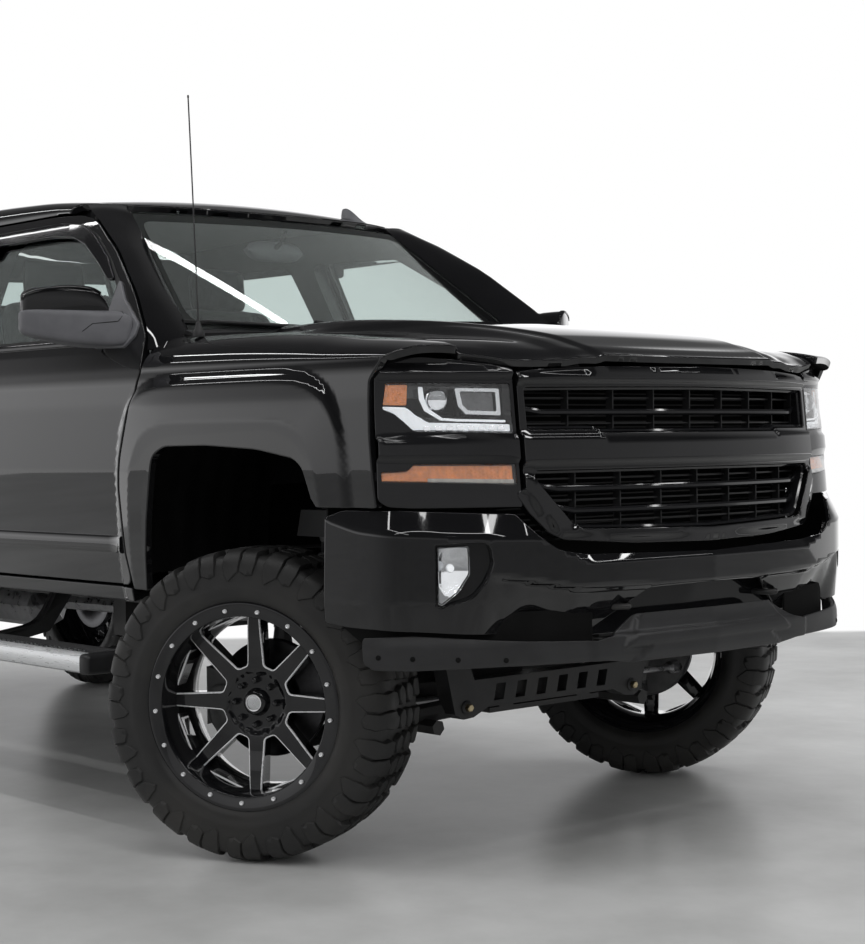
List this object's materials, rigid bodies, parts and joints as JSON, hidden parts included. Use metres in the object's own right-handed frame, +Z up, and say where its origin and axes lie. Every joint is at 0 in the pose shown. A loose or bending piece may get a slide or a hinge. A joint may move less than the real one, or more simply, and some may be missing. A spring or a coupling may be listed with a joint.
{
  "type": "lifted pickup truck",
  "caption": "Lifted crew-cab pickup truck with a short open cargo bed, mud tyres, side steps, steered front wheels, and opening doors, hood and tailgate.",
  "frame": {"origin": "on the floor, midway between the front and rear bumpers and midway across the truck", "axes": "+X towards the front bumper, +Y towards the truck's left side, +Z up"},
  "size_m": [5.842, 2.4872, 2.2361],
  "materials": {
    "black_paint": "gloss",
    "black_plastic": "satin",
    "tinted_glass": "gloss",
    "clear_lens": "gloss",
    "red_lens": "gloss",
    "black_steel": "satin",
    "bright_steel": "satin",
    "cast_metal": "matte",
    "satin_aluminium": "satin",
    "chrome": "polished",
    "black_rim": "gloss",
    "tyre_rubber": "matte",
    "seat_cloth": "matte",
    "interior_trim": "matte"
  },
  "bodies": {
    "truck": {"ladder_frame": "black_steel", "front_subframe": "black_steel", "powertrain": "cast_metal", "rear_axle": "black_steel", "exhaust": "cast_metal", "fuel_tank": "black_plastic", "spare_wheel": "tyre_rubber", "cab": "black_paint", "windshield": "tinted_glass", "rear_window": "tinted_glass", "fender_left": "black_paint", "fender_right": "black_paint", "grille": "black_plastic", "headlamp_left": "clear_lens", "headlamp_right": "clear_lens", "front_bumper": "black_paint", "front_valance": "black_plastic", "cargo_bed": "black_paint", "tail_lamp_left": "red_lens", "tail_lamp_right": "red_lens", "rear_bumper": "chrome", "running_board_left": "satin_aluminium", "running_board_right": "satin_aluminium", "antenna": "black_plastic", "front_seats": "seat_cloth", "rear_bench": "seat_cloth", "dashboard": "interior_trim"},
    "front_upright_left": {"knuckle_left": "cast_metal"},
    "front_wheel_left": {"tyre_front_left": "tyre_rubber", "rim_front_left": "black_rim"},
    "rear_wheel_left": {"tyre_rear_left": "tyre_rubber", "rim_rear_left": "black_rim"},
    "front_door_set_left": {"front_door_left": "black_paint", "front_glass_left": "tinted_glass", "mirror_left": "black_plastic"},
    "rear_door_set_left": {"rear_door_left": "black_paint", "rear_glass_left": "tinted_glass"},
    "front_upright_right": {"knuckle_right": "cast_metal"},
    "front_wheel_right": {"tyre_front_right": "tyre_rubber", "rim_front_right": "black_rim"},
    "rear_wheel_right": {"tyre_rear_right": "tyre_rubber", "rim_rear_right": "black_rim"},
    "front_door_set_right": {"front_door_right": "black_paint", "front_glass_right": "tinted_glass", "mirror_right": "black_plastic"},
    "rear_door_set_right": {"rear_door_right": "black_paint", "rear_glass_right": "tinted_glass"},
    "hood_lid": {"hood": "black_paint"},
    "tailgate_lid": {"tailgate": "black_paint"},
    "rack": {"tie_rods": "bright_steel"},
    "helm": {"steering_wheel": "interior_trim"}
  },
  "joints": [
    {"name": "steer_left", "type": "hinge", "parent": "truck", "child": "front_upright_left", "pos_m": [1.931, 0.785, 0.444], "axis": [0, 0, 1], "range_deg": [-61, 5]},
    {"name": "front_spin_left", "type": "hinge", "parent": "front_upright_left", "child": "front_wheel_left", "pos_m": [1.86527, 0.90861, 0.444], "axis": [-0.4695, 0.8829, 0], "continuous": true},
    {"name": "rear_spin_left", "type": "hinge", "parent": "truck", "child": "rear_wheel_left", "pos_m": [-1.714, 0.912, 0.444], "axis": [0, 1, 0], "continuous": true},
    {"name": "front_door_hinge_left", "type": "hinge", "parent": "truck", "child": "front_door_set_left", "pos_m": [1.5, 1.006, 1.1], "axis": [0, 0, -1], "range_deg": [0, 65]},
    {"name": "rear_door_hinge_left", "type": "hinge", "parent": "truck", "child": "rear_door_set_left", "pos_m": [0.248, 1.006, 1.1], "axis": [0, 0, -1], "range_deg": [0, 65]},
    {"name": "steer_right", "type": "hinge", "parent": "truck", "child": "front_upright_right", "pos_m": [1.931, -0.785, 0.444], "axis": [0, 0, 1], "range_deg": [-61, 5]},
    {"name": "front_spin_right", "type": "hinge", "parent": "front_upright_right", "child": "front_wheel_right", "pos_m": [1.99673, -0.90861, 0.444], "axis": [-0.4695, 0.8829, 0], "continuous": true},
    {"name": "rear_spin_right", "type": "hinge", "parent": "truck", "child": "rear_wheel_right", "pos_m": [-1.714, -0.912, 0.444], "axis": [0, 1, 0], "continuous": true},
    {"name": "front_door_hinge_right", "type": "hinge", "parent": "truck", "child": "front_door_set_right", "pos_m": [1.5, -1.006, 1.1], "axis": [0, 0, 1], "range_deg": [0, 65]},
    {"name": "rear_door_hinge_right", "type": "hinge", "parent": "truck", "child": "rear_door_set_right", "pos_m": [0.248, -1.006, 1.1], "axis": [0, 0, 1], "range_deg": [0, 65]},
    {"name": "rack_slide", "type": "slide", "parent": "truck", "child": "rack", "axis": [0, 1, 0], "range_m": [-0.158, 0.013]},
    {"name": "helm_turn", "type": "hinge", "parent": "truck", "child": "helm", "pos_m": [0.9, 0.38, 1.33], "axis": [0.9135, 0, -0.4067], "range_deg": [-78, 940]},
    {"name": "hood_hinge", "type": "hinge", "parent": "truck", "child": "hood_lid", "pos_m": [1.535, 0, 1.5652], "axis": [0, -1, 0], "range_deg": [0, 50]},
    {"name": "tailgate_hinge", "type": "hinge", "parent": "truck", "child": "tailgate_lid", "pos_m": [-2.844, 0, 1.018], "axis": [0, -1, 0], "range_deg": [0, 90]}
  ],
  "couplings": [
    {"joint": "steer_right", "follows": "steer_left", "ratio": 1},
    {"joint": "rack_slide", "follows": "steer_left", "m_per_rad": 0.1475},
    {"joint": "helm_turn", "follows": "steer_left", "ratio": -15.4}
  ]
}
